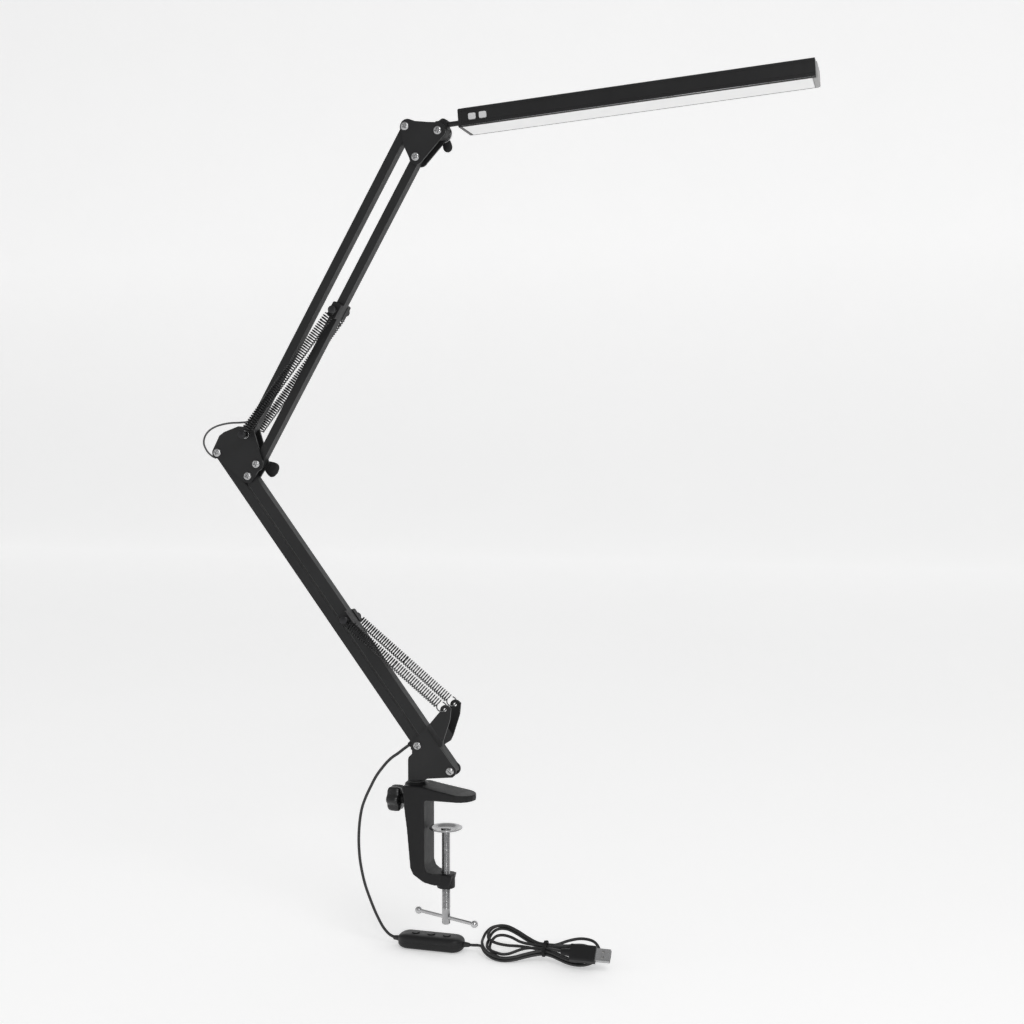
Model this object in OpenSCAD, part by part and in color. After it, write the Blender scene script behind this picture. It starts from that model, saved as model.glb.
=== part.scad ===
// Clamp-on architect desk lamp, USB powered: two parallelogram arms and a slim light bar.
// The origin is on the clamp's fixed jaw, on the clamp screw's axis. X runs along the arms'
// plane, Y is the lamp's depth and points away from its front, and Z is up. Millimetres.

/* [Lower arm] */
// Pivot to pivot length of the two lower bars
lower_length = 337; // [250:1:420]
// How far the lower arm leans back from upright, in degrees
lower_lean = 36.7; // [30:0.1:39]
// Width of the rear bar, the one nearer the lean
lower_rear_width = 9; // [7:0.5:9]
// Width of the front bar, which carries the springs
lower_front_width = 10.4; // [8:0.1:10.6]

/* [Upper arm] */
// Pivot to pivot length of the two upper bars
upper_length = 322; // [240:1:400]
// How far the upper arm leans forward from upright, in degrees
upper_lean = 30; // [25:0.5:35]
// Width of the upper bars
upper_width = 8; // [6:0.5:9]

/* [Shared sections] */
// Depth of every bar along Y
bar_depth = 10; // [8:1:10]
// Wall of the square tube the bars are made from
tube_wall = 1.2; // [0.8:0.1:2]
// Thickness of the joint plates
plate = 2; // [1.5:0.1:2.5]
// Diameter of the pivot screws' shanks
pivot_d = 4; // [3:0.5:4]
// Radial running clearance in every pivot
run = 0.05; // [0.02:0.01:0.1]

/* [Springs] */
// Outside diameter of the springs
spring_d = 9.5; // [8:0.5:10]
// Wire diameter of the springs
wire_d = 1.2; // [0.8:0.1:1.4]
// Distance of the springs' axes from the arms' middle plane
spring_y = 14.5; // [14:0.1:15]

/* [Clamp] */
// Width of the cast body along Y
clamp_width = 30; // [26:1:34]
// Clear height between the jaws, from the fixed jaw to the lower arm of the casting
clamp_throat = 69; // [60:1:80]
// Diameter of the clamp screw
screw_d = 8; // [6:0.5:8]
// Diameter of the pressure pad
pad_d = 31; // [24:1:32]
// Gap from the fixed jaw to the pad as drawn
pad_gap = 27; // [22:1:30]
// Distance between the centres of the tommy bar's balls
tommy_span = 67; // [50:1:70]
// Direction of the tommy bar about the screw, in degrees
tommy_turn = -20.7; // [-90:0.1:90]

/* [Light head] */
// Length of the light bar's housing
head_length = 308; // [250:1:350]
// Depth of the housing
head_depth = 36; // [28:1:40]
// Height of the housing
head_height = 16.5; // [12:0.5:18]
// Rise of the head from level, in degrees
head_rise = 4.1; // [0:0.1:8]
// Wall of the housing
head_wall = 1.4; // [1:0.1:2]

/* [Cord] */
// Outside diameter of the cord
cord_d = 2.8; // [2.5:0.1:3.5]
// Height of the level on which the controller and the spare cord lie
rest_z = -162; // [-180:1:-160]

/* [Hidden] */
$fn = 48;
eps = 0.01;

// Arm directions and pivots, each as [x, z]
low_dir = [-sin(lower_lean), cos(lower_lean)];
up_dir = [sin(upper_lean), cos(upper_lean)];
base_a = [-25, 49];
base_b = base_a + [31.5, -22.1];
elbow_a = base_a + lower_length * low_dir;
elbow_b = base_b + lower_length * low_dir;
elbow_d = elbow_a + [40.3, -10.7];
elbow_c = elbow_d + [-10, 27.9];
head_d = elbow_d + upper_length * up_dir;
head_c = elbow_c + upper_length * up_dir;
tilt = head_d + [21.2, 22.3];

// Springs: where each pair hooks on, and the pin that holds its other end
ear = [4.5, 85];
low_pin_at = [1.5, 170];
low_pin = base_b + low_pin_at[1] * low_dir + low_pin_at[0] * [cos(lower_lean), sin(lower_lean)];
up_pin_at = 164.5;
up_pin = elbow_d + up_pin_at * up_dir;
ear_r = 4.6;
eye_r = 3;
low_spring_run = norm(low_pin - ear);
low_spring_tilt = atan2(low_pin[0] - ear[0], low_pin[1] - ear[1]);
up_spring_run = norm(up_pin - elbow_c);
up_spring_tilt = atan2(up_pin[0] - elbow_c[0], up_pin[1] - elbow_c[1]);
coil_start = 9.4;

// Levels along Y
half = bar_depth / 2;
gap = 0.4;
in_y = half + gap;
out_y = in_y + plate;
head_h = 2.4;
screw_head_d = 8.2;
nut_af = 7;
nut_t = 3;

// Clamp
post_x = -28.8;
post_d = 11;
collar_d = 15.5;
knob_z = -3;
knob_d = 25;
jaw_low = -clamp_throat;
pad_t = 3.8;
pad_top = -pad_gap;
screw_top = pad_top - pad_t - 0.4;
spine_x = -16.4;
body_top = 12.4;
boss_top = 14.2;
tommy_z = -111.8;
screw_end = -118;
tommy_d = 3.4;
ball_d = 6.8;

// Head
head_base = [19.6, 617];
knuckle_t = 2 * half - 0.4;
stem_d = 4.6;
btn_x = [12.4, 22.4];
btn = [6.8, 5.6];

// Controller and spare cord
ctl = [-32, 50];
ctl_size = [66, 22, 14.4];
// The spare cord lies with its far side sprung up: its near edge, its tilt and its thickness
hank_y = 32;
hank_tilt = 25;
hank_t = 6;
// A point of the hank's own frame in the part's frame
function hank_at(p) = [
    p[0], hank_y + p[1] * cos(hank_tilt) - p[2] * sin(hank_tilt),
    rest_z + p[1] * sin(hank_tilt) + p[2] * cos(hank_tilt)
];

// The cord's route from the gland to the controller
cord_route = [
    [-33.4, 0, 49.3], [-36.3, 0, 47.2], [-41.4, 0.2, 43.4], [-47.5, 1, 38.6], [-53, 2, 34.8],
    [-58.5, 3.5, 30], [-64, 5, 24],
    [-71.5, 7, 14.5], [-78, 9, 3.5], [-84, 11.5, -7.5], [-89, 14, -19], [-92.8, 17.5, -33],
    [-95.3, 21, -48], [-96.6, 24.5, -61], [-97, 28, -74], [-96.3, 31.5, -87], [-94.5, 35, -100.5],
    [-91.5, 38.5, -113.5], [-87.8, 41.5, -126], [-84.5, 44.5, -136], [-80.5, 47, -145],
    [-75.5, 48.8, -151.4], [-71, 49.8, -154], [-65.5, 50, -154.8]
];
// The cord's route from the controller to the spare hank
tail_route = [
    [1.5, 50, -154.8], [6, 50, -154.8], [11, 49.7, -154.5], [16, 49.2, -154], [20.5, 48.6, -152.8]
];
// The cord's route from the spare hank to the plug, in the hank's frame
plug_route = [for (p = [
    [76, 18.8, 4.1], [81, 18.6, 4.3], [85, 18, 5.4], [88.5, 16.5, 7.2], [92, 14.4, 9.2], [95.5, 12.2, 11],
    [99, 10.4, 12.2], [102.5, 9.5, 12.5]
]) hank_at(p)];
// The hank's two loops in its own frame: centre and radius
hank_left = [43, 24, 24];
hank_right = [116, 22.5, 18];
// The plug in the hank's frame: its middle, its turn from X and its roll, in degrees
plug = [119.5, 9.5, 12.5];
plug_turn = 0;
plug_roll = 20;

// Places its children at an [x, z] point in the arms' plane
module at(p) {
    translate([p[0], 0, p[1]]) children();
}

// Extrudes a drawing in X and Z from y0 to y1
module slab(y0, y1) {
    translate([0, y1, 0]) rotate([90, 0, 0]) linear_extrude(y1 - y0) children();
}

// A round rod along Y
module rod(p, d, y0, y1) {
    at(p) slab(y0, y1) circle(d = d);
}

// A flat link between two [x, z] points
module link(p, q, w) {
    d = q - p;
    translate(p) circle(d = w);
    translate(q) circle(d = w);
    translate(p) rotate(atan2(d[1], d[0])) translate([0, -w / 2]) square([norm(d), w]);
}

// A rounded rectangle drawn from exact arcs
module pill(size, r) {
    translate([-size[0] / 2 + r, -size[1] / 2]) square([size[0] - 2 * r, size[1]]);
    translate([-size[0] / 2, -size[1] / 2 + r]) square([size[0], size[1] - 2 * r]);
    for (sx = [-1, 1], sy = [-1, 1])
        translate([sx * (size[0] / 2 - r), sy * (size[1] / 2 - r)]) circle(r = r);
}

// A square tube of length len leaning by a: rounded cheeks, pivot bores and open ends.
// extra lists further bores as [offset across, distance along]
module bar(p, len, a, w, extra = []) {
    at(p) rotate([0, a, 0]) difference() {
        slab(-half, half) {
            circle(d = w);
            translate([0, len]) circle(d = w);
            translate([-w / 2, 0]) square([w, len]);
        }
        slab(-half + tube_wall, half - tube_wall)
            translate([-w / 2 + tube_wall, -w]) square([w - 2 * tube_wall, len + 2 * w]);
        for (e = concat([[0, 0], [0, len]], extra))
            rod(e, pivot_d + 2 * run, -half - 1, half + 1);
    }
}

// A pan-head screw along Y: the head in front, the shank running to y1
module pan_screw(p, y1, d = pivot_d) {
    difference() {
        union() {
            rod(p, screw_head_d, -out_y - 1.5, -out_y);
            rod(p, screw_head_d - 1.6, -out_y - head_h, -out_y - 1.5);
            rod(p, d, -out_y, y1);
        }
        at(p) translate([-2.3, -out_y - head_h - eps, -0.45]) cube([4.6, 1.4, 0.9]);
        at(p) translate([-0.45, -out_y - head_h - eps, -2.3]) cube([0.9, 1.4, 4.6]);
    }
}

// A hexagon nut behind the rear plate, on a shank of diameter d
module hex_nut(p, d = pivot_d) {
    at(p) slab(out_y, out_y + nut_t)
        difference() {
            circle(d = nut_af / cos(30), $fn = 6);
            circle(d = d);
        }
}

// The eye at a spring's end, lying in the arms' plane at height y
module eye(y) {
    translate([0, y, 0]) rotate([90, 0, 0])
        rotate_extrude() translate([eye_r, 0]) circle(d = wire_d, $fn = 16);
}

// The tubular body of a coil spring along Z from z0 to z1
module coil(y, z0, z1) {
    translate([0, y, z0]) difference() {
        cylinder(d = spring_d, h = z1 - z0);
        translate([0, 0, -1]) cylinder(d = spring_d - 2 * wire_d, h = z1 - z0 + 2);
    }
}

// The straight wire between an eye and the coil, from r to the coil's first turn at z1
module spring_neck(y, z1) {
    translate([0, y, eye_r]) cylinder(d = wire_d, h = z1 - eye_r - 1.2, $fn = 16);
    translate([-spring_d / 2 + 0.2, y - wire_d / 2, z1 - 1.6]) cube([spring_d - 0.4, wire_d, 1.6]);
}

// Clamp ---------------------------------------------------------------------------------

// The spine of the casting, from the swivel boss down to the lower arm
module clamp_side() {
    polygon([
        [-37.4, body_top], [-35.9, -8], [-33.3, -28], [-30.1, -64], [-27.3, -69.9], [-18.3, -75.8],
        [-8.8, -79.8], [2, -81.6], [6, jaw_low - 10], [8, jaw_low - 2], [-10, jaw_low],
        [-14.5, jaw_low + 2], [spine_x, jaw_low + 7], [spine_x, -1.6], [spine_x + 1.6, 0], [-10, 0],
        [-10, body_top - 1.8], [-20, body_top]
    ]);
}

// The jaw that rests on the desk: thick at its root, thin and rounded at its tip
module jaw_plate() {
    intersection() {
        slab(-20, 20) polygon([
            [-24, 0], [-24, body_top], [-13.5, body_top - 1.2], [-7, 10], [15, 6.4], [31, 5.4], [31, 0]
        ]);
        linear_extrude(20) polygon([
            [-24, -15], [14, -15.4], [19.6, -14.2], [24.4, -10.8], [27.8, -5.6], [29.2, 0],
            [27.8, 5.6], [24.4, 10.8], [19.6, 14.2], [14, 15.4], [-24, 15]
        ]);
    }
}

// The width of the casting seen from above: the lower arm narrows to the screw's boss
module clamp_plan() {
    h = clamp_width / 2;
    polygon([
        [-45, -h], [spine_x + 1, -h], [-3, -8.2], [12, -8.2], [12, 8.2], [-3, 8.2], [spine_x + 1, h],
        [-45, h]
    ]);
}

module clamp_frame() {
    color("dimgray") difference() {
        union() {
            intersection() {
                slab(-clamp_width / 2, clamp_width / 2) clamp_side();
                translate([0, 0, -100]) linear_extrude(120) clamp_plan();
            }
            jaw_plate();
            translate([post_x, 0, -20]) cylinder(d = 21.6, h = 20 + body_top);
            translate([post_x, 0, body_top - eps]) cylinder(d1 = 21.6, d2 = 17, h = boss_top - body_top);
            translate([0, 0, jaw_low - 14.6]) cylinder(d = 17, h = 13.4);
        }
        translate([post_x, 0, -22]) cylinder(d = post_d + 2, h = 60);
        translate([0, 0, -95]) cylinder(d = screw_d + 2 * run, h = 40);
        translate([-50, 0, knob_z]) rotate([0, 90, 0]) cylinder(d = 6 + 2 * run, h = 16);
    }
}

module swivel_bush() {
    color("dimgray") translate([post_x, 0, -20]) difference() {
        union() {
            cylinder(d = post_d + 2, h = 20 + boss_top);
            translate([0, 0, 20 + boss_top]) cylinder(d = collar_d + 0.6, h = 1.2);
        }
        translate([0, 0, -1]) cylinder(d = post_d + 2 * run, h = 40);
        translate([-12, 0, 20 + knob_z]) rotate([0, 90, 0]) cylinder(d = 6.4, h = 12);
    }
}

// The screw's neck passes through the pad and its end is riveted over inside the dish
module clamp_screw() {
    color("silver") difference() {
        union() {
            translate([0, 0, screw_end]) cylinder(d = screw_d, h = screw_top - screw_end);
            translate([0, 0, screw_top - eps]) cylinder(d = 5.5, h = 2.2);
            translate([0, 0, pad_top - 2.1]) cylinder(d = 9, h = 0.7);
            translate([0, 0, pad_top - 1.4 - eps]) cylinder(d1 = 9, d2 = 5, h = 0.8);
        }
        translate([0, 0, tommy_z]) rotate([0, 0, tommy_turn]) rotate([0, 90, 0])
            cylinder(d = tommy_d + 2 * run, h = 20, center = true);
    }
}

module pressure_pad() {
    color("gainsboro") translate([0, 0, pad_top - pad_t]) difference() {
        union() {
            cylinder(d1 = 13, d2 = pad_d, h = pad_t - 1.2);
            translate([0, 0, pad_t - 1.2 - eps]) cylinder(d = pad_d, h = 1.2 + eps);
        }
        translate([0, 0, pad_t - 2.2]) cylinder(d1 = 17, d2 = 23, h = 2.2 + eps);
        translate([0, 0, -1]) cylinder(d = 5.7, h = 8);
    }
}

module tommy_bar() {
    color("silver") translate([0, 0, tommy_z]) rotate([0, 0, tommy_turn]) rotate([0, 90, 0])
        rotate_extrude() intersection() {
            union() {
                square([tommy_d, tommy_span], center = true);
                for (s = [-1, 1]) translate([0, s * tommy_span / 2]) circle(d = ball_d);
            }
            translate([0, -50]) square([10, 100]);
        }
}

module swivel_lock_knob() {
    color("black") translate([-42.8, 0, knob_z]) rotate([0, -90, 0]) {
        difference() {
            union() {
                cylinder(d = knob_d - 4, h = 12.8);
                for (k = [0 : 5]) rotate([0, 0, 60 * k]) translate([knob_d / 2 - 4, 0, 0])
                    cylinder(d = 8, h = 12.8);
                translate([0, 0, -2.6]) cylinder(d = 10, h = 2.6 + eps);
            }
            translate([0, 0, 11.4]) cylinder(d = 11, h = 3);
        }
    }
    color("silver") translate([-34.5, 0, knob_z]) rotate([0, -90, 0]) cylinder(d = 6, h = 12);
}

// Base ----------------------------------------------------------------------------------

module base_side() {
    polygon([
        [-34.4, 17], [-34.4, 35.5], [-33.8, 37.9], [-30.5, 41.1], [-30.5, 46], [-28.6, 53.8],
        [-23.2, 59.4], [-17, 66.3], [-3.4, 48.7], [12.3, 28], [9, 21.4], [-17.8, 18.4], [-17.8, 17]
    ]);
    translate(base_a) circle(r = 6);
    translate(base_b) circle(r = 5.8);
}

// Each cheek's spring lug is folded outwards along a slanting line
fold = [[-3.4, 48.7], [-17, 66.3]];
fold_turn = atan2(fold[1][1] - fold[0][1], fold[0][0] - fold[1][0]);

// Seen along the fold: the sheet rises from the cheek, steps out and stands straight again
module lug_section() {
    o = spring_y + plate / 2;
    i = spring_y - plate / 2;
    polygon([
        [in_y + 0.3, -1], [out_y - 0.3, -1], [out_y - 0.3, -0.3], [o, 9], [o, 60], [i, 60], [i, 9.6],
        [in_y + 0.3, 0.6]
    ]);
}

// The lug seen from the front, with the rounded tip that the spring hooks through
module lug_shape() {
    translate(ear) circle(r = ear_r);
    polygon([
        [-4.6, 47.8], [-17.6, 65.3], [-17, 66.3], [-14, 68.6], [-10.4, 71.5], [-0.4, 83.4],
        [2.4, 89.2], [7, 89.4], [10.2, 86.6], [9.2, 76.2], [1.2, 51.6]
    ]);
}

module spring_lug() {
    intersection() {
        slab(in_y - 1, spring_y + 3) lug_shape();
        at(fold[0]) rotate([0, fold_turn, 0]) rotate([90, 0, 90]) translate([0, 0, -40])
            linear_extrude(80) lug_section();
    }
}

module base_bracket() {
    color("dimgray") difference() {
        union() {
            for (s = [-1, 1])
                slab(min(s * in_y, s * out_y), max(s * in_y, s * out_y)) base_side();
            spring_lug();
            mirror([0, 1, 0]) spring_lug();
            slab(-in_y - 0.6, in_y + 0.6) polygon([
                [-34, 17.4], [-17.4, 17.4], [-17.4, 19], [-1, 20.8], [-1, 22.2], [-17.6, 20.4], [-34, 20]
            ]);
        }
        for (p = [base_a, base_b]) rod(p, pivot_d + 2 * run, -12, 12);
        rod(ear, 3.4, -30, 30);
        translate([post_x, 0, 10]) cylinder(d = 6, h = 20);
    }
}

module swivel_post() {
    color("dimgray") translate([post_x, 0, 0]) {
        translate([0, 0, -18]) cylinder(d = post_d, h = 33.8 + eps);
        translate([0, 0, 15.8]) cylinder(d = collar_d, h = 1.2);
        translate([0, 0, 17 - eps]) cylinder(d = 6, h = 3 + 2 * eps);
        translate([0, 0, 20]) cylinder(d = 9, h = 1.6);
    }
}

module base_pivot_screws() {
    color("silver") for (p = [base_a, base_b]) pan_screw(p, out_y + nut_t);
}

module base_pivot_nuts() {
    color("gray") for (p = [base_a, base_b]) hex_nut(p);
}

module cord_gland() {
    color("black") translate([-33, 0, 49.6]) rotate([0, -126, 0]) difference() {
        cylinder(d1 = 5.4, d2 = 4.6, h = 3.4);
        translate([0, 0, -1]) cylinder(d = cord_d + 0.4, h = 9);
    }
    color("black") translate([-32.4, -in_y, 44.4]) cube([2, 2 * in_y, 3.2]);
}

// Lower arm -----------------------------------------------------------------------------

module lower_rear_bar() {
    color("darkslategray") bar(base_a, lower_length, -lower_lean, lower_rear_width);
}

module lower_front_bar() {
    color("slategray") bar(base_b, lower_length, -lower_lean, lower_front_width, [low_pin_at]);
}

module lower_spring_pin() {
    color("silver") {
        rod(low_pin, pivot_d, -spring_y - 3.4, spring_y + 3.4);
        for (s = [-1, 1]) rod(low_pin, 7.4, s * (spring_y + 2.6) - 0.8, s * (spring_y + 2.6) + 0.8);
    }
}

module lower_spring_clip() {
    color("black") for (s = [-1, 1])
        slab(s > 0 ? half : -spring_y + 2.4, s > 0 ? spring_y - 2.4 : -half) difference() {
            translate(low_pin) rotate(90 + lower_lean) pill([15, 9], 2);
            translate(low_pin) circle(d = pivot_d);
        }
}

module lower_springs_arm_half() {
    color("silver") at(low_pin) rotate([0, low_spring_tilt + 180, 0]) for (s = [-1, 1]) {
        eye(s * spring_y);
        spring_neck(s * spring_y, coil_start);
        coil(s * spring_y, coil_start, low_spring_run / 2);
    }
}

module lower_springs_base_half() {
    color("silver") at(ear) rotate([0, low_spring_tilt, 0]) for (s = [-1, 1]) {
        hook_loop(s * spring_y);
        coil(s * spring_y, coil_start, low_spring_run / 2);
    }
}

// The round loop through a lug, in the plane across it, and the coil's first turn
module hook_loop(y) {
    translate([0, y, eye_r + 1.6]) rotate([0, 90, 0])
        rotate_extrude() translate([eye_r + 1.6, 0]) circle(d = wire_d, $fn = 16);
    translate([-wire_d / 2, y - spring_d / 2 + 0.2, coil_start - 0.8])
        cube([wire_d, spring_d - 0.4, 0.8]);
}

// Elbow ---------------------------------------------------------------------------------

module elbow_side() {
    e = elbow_a;
    polygon([
        e + [-5, 2.5], e + [2, 16], e + [7, 19.6], e + [22, 25], e + [37, 24], elbow_d + [7, 1],
        elbow_b + [5, -4], elbow_b + [-3, -6], e + [0, -5.4]
    ]);
    translate(e) circle(r = 5.6);
    translate(elbow_b) circle(r = 6.6);
    translate(elbow_c) circle(r = 8.2);
    translate(elbow_d) circle(r = 7);
}

module elbow_plate(y0) {
    slab(y0, y0 + plate) difference() {
        elbow_side();
        for (p = [elbow_a, elbow_b, elbow_c, elbow_d]) translate(p) circle(d = pivot_d + 2 * run);
    }
}

module elbow_plate_front() {
    color("dimgray") elbow_plate(-out_y);
}

module elbow_plate_rear() {
    color("dimgray") elbow_plate(in_y);
}

module elbow_pivot_screws() {
    color("silver") {
        for (p = [elbow_a, elbow_b]) pan_screw(p, out_y + nut_t);
        pan_screw(elbow_d, out_y + 12);
        rod(elbow_c, pivot_d, -spring_y - 3.4, spring_y + 3.4);
        for (s = [-1, 1])
            rod(elbow_c, 7.4, s * (spring_y + 2.6) - 0.8, s * (spring_y + 2.6) + 0.8);
    }
}

module elbow_pivot_nuts() {
    color("gray") {
        for (p = [elbow_a, elbow_b]) hex_nut(p);
        for (s = [-1, 1]) at(elbow_c) slab(s > 0 ? out_y : -out_y - 2.6, s > 0 ? out_y + 2.6 : -out_y)
            difference() {
                circle(d = 8);
                circle(d = pivot_d);
            }
    }
}

// A wing nut behind the rear plate, turned by a about its screw
module wing_nut(p, a, y0, reach, width = 9) {
    at(p) {
        slab(y0, y0 + 7) difference() {
            circle(d = 9.5);
            circle(d = pivot_d + 2 * run);
        }
        rotate([0, a, 0]) for (s = [-1, 1]) difference() {
            translate([s * (reach / 2 + 3), y0 + 4.5, 0]) rotate([90, 0, 0])
                linear_extrude(3, center = true) pill([reach - 2, width], 4);
            translate([0, y0 + 4.5, 0]) rotate([90, 0, 0]) cylinder(d = 9, h = 20, center = true);
        }
    }
}

module elbow_wing_nut() {
    color("dimgray") wing_nut(elbow_d, 34, out_y + 0.4, 14, 15);
}

// The cable that loops round the outside of the elbow between the two arms
elbow_loop = [
    elbow_a + [-5.6, -5.2], elbow_a + [-9.6, -3.6], elbow_a + [-15.2, 0.6], elbow_a + [-19, 7],
    elbow_a + [-16.5, 14.5], elbow_a + [-8, 20.5], elbow_a + [3, 24.8], elbow_a + [14, 27.2],
    elbow_a + [22, 28.3], elbow_a + [27.5, 29]
];

module elbow_cable() {
    color("gray") sweep([for (p = elbow_loop) [p[0], 0, p[1]]], 1.8);
}

// Upper arm -----------------------------------------------------------------------------

module upper_rear_bar() {
    color("darkslategray") bar(elbow_c, upper_length, upper_lean, upper_width);
}

module upper_front_bar() {
    color("slategray") bar(elbow_d, upper_length, upper_lean, upper_width, [[0, up_pin_at]]);
}

module upper_spring_pin() {
    color("silver") {
        rod(up_pin, pivot_d, -spring_y - 3.4, spring_y + 3.4);
        for (s = [-1, 1]) rod(up_pin, 7.4, s * (spring_y + 2.6) - 0.8, s * (spring_y + 2.6) + 0.8);
    }
}

module upper_spring_clip() {
    color("black") for (s = [-1, 1])
        slab(s > 0 ? half : -spring_y + 2.4, s > 0 ? spring_y - 2.4 : -half) difference() {
            translate(up_pin) rotate(90 - upper_lean) pill([15, 9], 2);
            translate(up_pin) circle(d = pivot_d);
        }
}

module upper_springs() {
    color("silver") at(elbow_c) rotate([0, up_spring_tilt, 0]) for (s = [-1, 1]) {
        eye(s * spring_y);
        spring_neck(s * spring_y, coil_start);
        coil(s * spring_y, coil_start, up_spring_run - coil_start - 4);
    }
}

module upper_spring_ends() {
    color("silver") at(up_pin) rotate([0, up_spring_tilt + 180, 0]) for (s = [-1, 1]) {
        eye(s * spring_y);
        spring_neck(s * spring_y, coil_start);
        coil(s * spring_y, coil_start, coil_start + 4);
    }
}

// Head joint ----------------------------------------------------------------------------

module head_side() {
    difference() {
        union() {
            polygon([
                head_c + [-4.6, -2], head_c + [3.6, 6.4], head_c + [9.5, 4.2], head_c + [22, 2.6],
                tilt + [0.6, 7.4], tilt + [6.6, -3.4], head_d + [5.4, -4.8], head_d + [-4.6, -4],
                head_c + [-1.5, -17]
            ]);
            translate(tilt) circle(r = 7.4);
            translate(head_c + [2, -0.4]) circle(r = 7);
            translate(head_d + [0.6, -0.4]) circle(r = 6.6);
        }
        for (p = [head_c, head_d, tilt]) translate(p) circle(d = pivot_d + 2 * run);
    }
}

module head_plate_front() {
    color("dimgray") slab(-out_y, -in_y) head_side();
}

module head_plate_rear() {
    color("dimgray") slab(in_y, out_y) head_side();
}

module head_pivot_screws() {
    color("silver") for (p = [head_c, head_d]) pan_screw(p, out_y + nut_t);
}

module head_pivot_nuts() {
    color("gray") for (p = [head_c, head_d]) hex_nut(p);
}

module head_tilt_bolt() {
    color("silver") pan_screw(tilt, out_y + 13);
}

module head_tilt_washers() {
    color("gainsboro") at(tilt) slab(out_y, out_y + 1.6) difference() {
        circle(d = 17);
        circle(d = pivot_d + 2 * run);
    }
    color("gainsboro") at(tilt) slab(out_y + 1.6, out_y + 2.8) difference() {
        circle(d = 12);
        circle(d = pivot_d + 2 * run);
    }
}

module head_wing_nut() {
    color("dimgray") wing_nut(tilt, 78, out_y + 3.2, 15);
}

// Places its children in the head's own frame: X along the bar from its left end
module head_frame() {
    at(head_base) rotate([0, -head_rise, 0]) children();
}

module head_knuckle() {
    color("black") difference() {
        union() {
            rod(tilt, 15, -knuckle_t / 2, knuckle_t / 2);
            head_frame() translate([-26.5, -knuckle_t / 2 + 0.4, -5.2]) cube([10.9, knuckle_t - 0.8, 8.8]);
        }
        rod(tilt, pivot_d + 2 * run, -10, 10);
        head_frame() translate([-21.5, 0, 0]) rotate([0, 90, 0]) cylinder(d = stem_d + 2 * run, h = 8);
    }
}

module head_stem() {
    color("black") head_frame() {
        translate([-21.3, 0, 0]) rotate([0, 90, 0]) cylinder(d = stem_d, h = 21.3 - 2);
        translate([-3, 0, 0]) rotate([0, 90, 0]) cylinder(d = 9, h = 2);
    }
}

// Head ----------------------------------------------------------------------------------

// The housing's section in Y and Z, open underneath
module head_outline(inset) {
    w = head_depth - 2 * inset;
    h = head_height - 2 * inset;
    translate([0, 1 - inset / 2]) pill([w, h - 1 + inset], 2.6 - inset);
    translate([-w / 2, -h / 2]) square([w, h / 2]);
}

module along_head(x0, x1) {
    head_frame() translate([x0, 0, 0]) rotate([90, 0, 90]) linear_extrude(x1 - x0) children();
}

module head_housing() {
    color("dimgray") difference() {
        along_head(2, head_length + 3.4) difference() {
            head_outline(0);
            translate([0, -head_wall]) head_outline(head_wall);
            translate([-head_depth / 2 + head_wall, -head_height]) square([head_depth - 2 * head_wall, 10]);
            for (z = [-4.1, 5.6]) for (s = [-1, 1])
                translate([s * head_depth / 2, z]) square([0.7, 0.6], center = true);
        }
        for (x = btn_x) head_frame() translate([x, -head_depth / 2, 0])
            cube([btn[0] + 0.6, 6, btn[1] + 0.6], center = true);
    }
}

module head_diffuser() {
    color("white") along_head(2.4, head_length + 0.4) {
        translate([0, -head_height / 2 + 0.9])
            square([head_depth - 2 * head_wall - 0.2, 1.8], center = true);
    }
}

module head_led_board() {
    color("green") along_head(14, head_length - 6)
        translate([0, 3.4]) square([22, 1.2], center = true);
    color("yellow") head_frame() for (k = [0 : 23])
        translate([30 + 11.5 * k, 0, 2.4]) cube([3.5, 3, 1.2], center = true);
    color("gray") along_head(14, head_length - 6) for (s = [-1, 1])
        translate([s * 9, 4.9]) square([2, 1.9], center = true);
}

module head_left_cap() {
    color("dimgray") along_head(-1, 2) difference() {
        head_outline(0);
        translate([-2.6, -2.6]) square([5.2, 5.2]);
    }
}

// The right cap fills the end of the housing, down to the diffuser's level
module head_right_cap() {
    i = head_wall + 0.1;
    color("lightgray") along_head(head_length + 0.6, head_length + 5) {
        translate([0, -i]) head_outline(i);
        translate([-head_depth / 2 + i, -head_height / 2 - 0.4])
            square([head_depth - 2 * i, head_height / 2]);
    }
}

module head_button(x) {
    head_frame() translate([x, -head_depth / 2, 0]) {
        rotate([-90, 0, 0]) translate([0, 0, -0.9]) linear_extrude(3) pill(btn, 1.4);
        translate([-btn[0] / 2 - 0.8, 2, -btn[1] / 2 - 0.8]) cube([btn[0] + 1.6, 1, btn[1] + 1.6]);
    }
}

module head_power_button() {
    color("silver") head_button(btn_x[0]);
}

module head_dimmer_button() {
    color("silver") head_button(btn_x[1]);
}

// Cord ----------------------------------------------------------------------------------

function unit(v) = v / norm(v);

// A round tube through a list of points, as one closed solid with eight sides
module sweep(path, d) {
    n = len(path);
    sides = 8;
    rings = [for (i = [0 : n - 1])
        let (t = unit(path[min(i + 1, n - 1)] - path[max(i - 1, 0)]),
             u = unit(cross(t, [0, 1, 0])),
             v = cross(t, u))
        for (k = [0 : sides - 1])
            path[i] + d / 2 * (cos(360 * k / sides) * u + sin(360 * k / sides) * v)];
    walls = [for (i = [0 : n - 2], k = [0 : sides - 1])
        let (m = (k + 1) % sides)
            [i * sides + k, (i + 1) * sides + k, (i + 1) * sides + m, i * sides + m]];
    ends = [[for (k = [0 : sides - 1]) k], [for (k = [sides - 1 : -1 : 0]) (n - 1) * sides + k]];
    polyhedron(points = rings, faces = concat(walls, ends), convexity = 6);
}

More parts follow.
